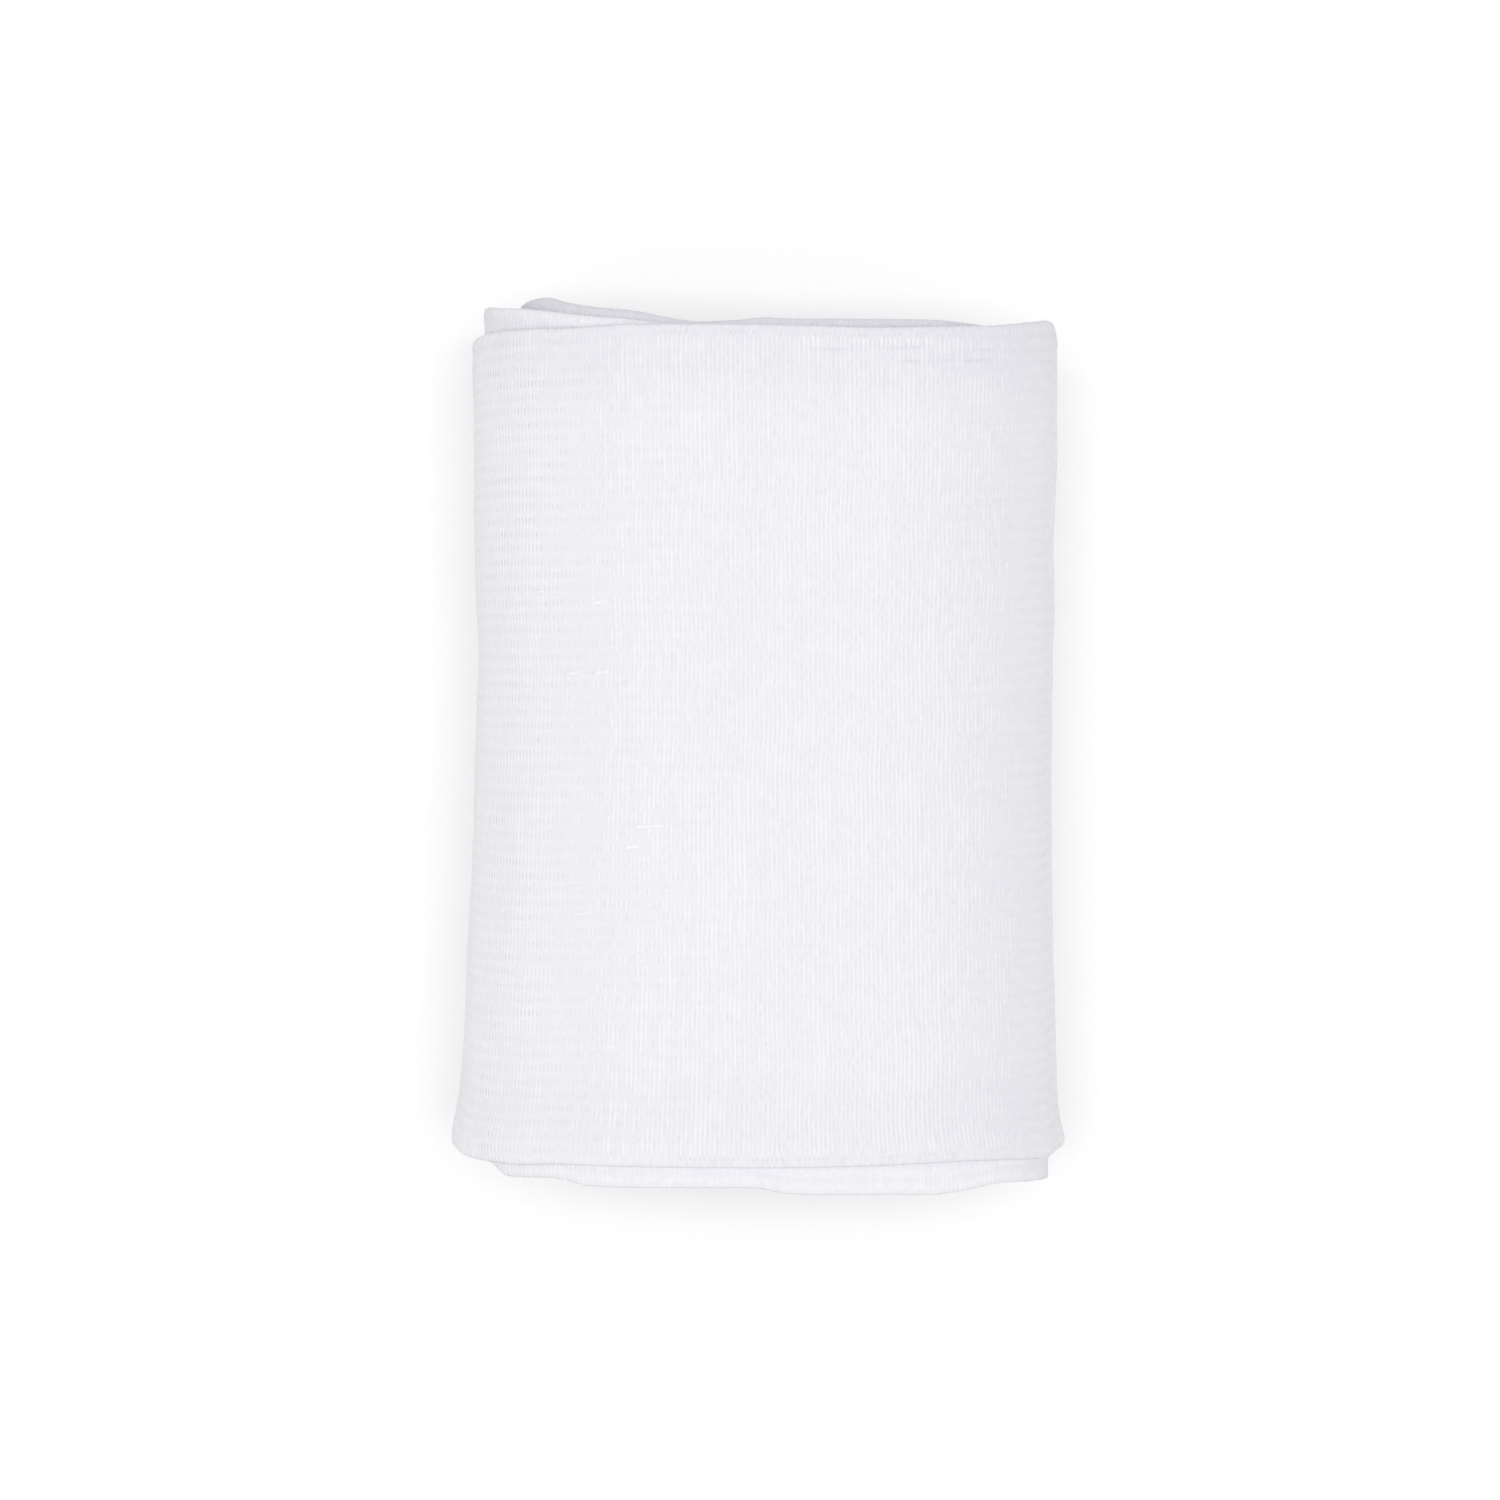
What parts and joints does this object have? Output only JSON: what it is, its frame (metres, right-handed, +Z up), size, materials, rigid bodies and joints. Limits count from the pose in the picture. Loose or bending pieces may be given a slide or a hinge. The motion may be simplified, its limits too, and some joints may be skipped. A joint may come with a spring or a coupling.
{
  "type": "rolled pressure bandage",
  "caption": "White elastic knitted bandage, wound into a slightly flattened roll that lies on its side with its turns' edges showing at both ends.",
  "frame": {"origin": "middle of the roll's box, on the surface that it rests on", "axes": "+Z up, +Y along the roll's axis, +X across the roll to the side that the outer turn comes down on"},
  "size_m": [0.075, 0.1082, 0.0378],
  "materials": {
    "knit": "matt white elastic knit with fine cross ribs and lengthwise rows"
  },
  "bodies": {
    "root": {"bandage_roll": "knit"}
  },
  "joints": []
}
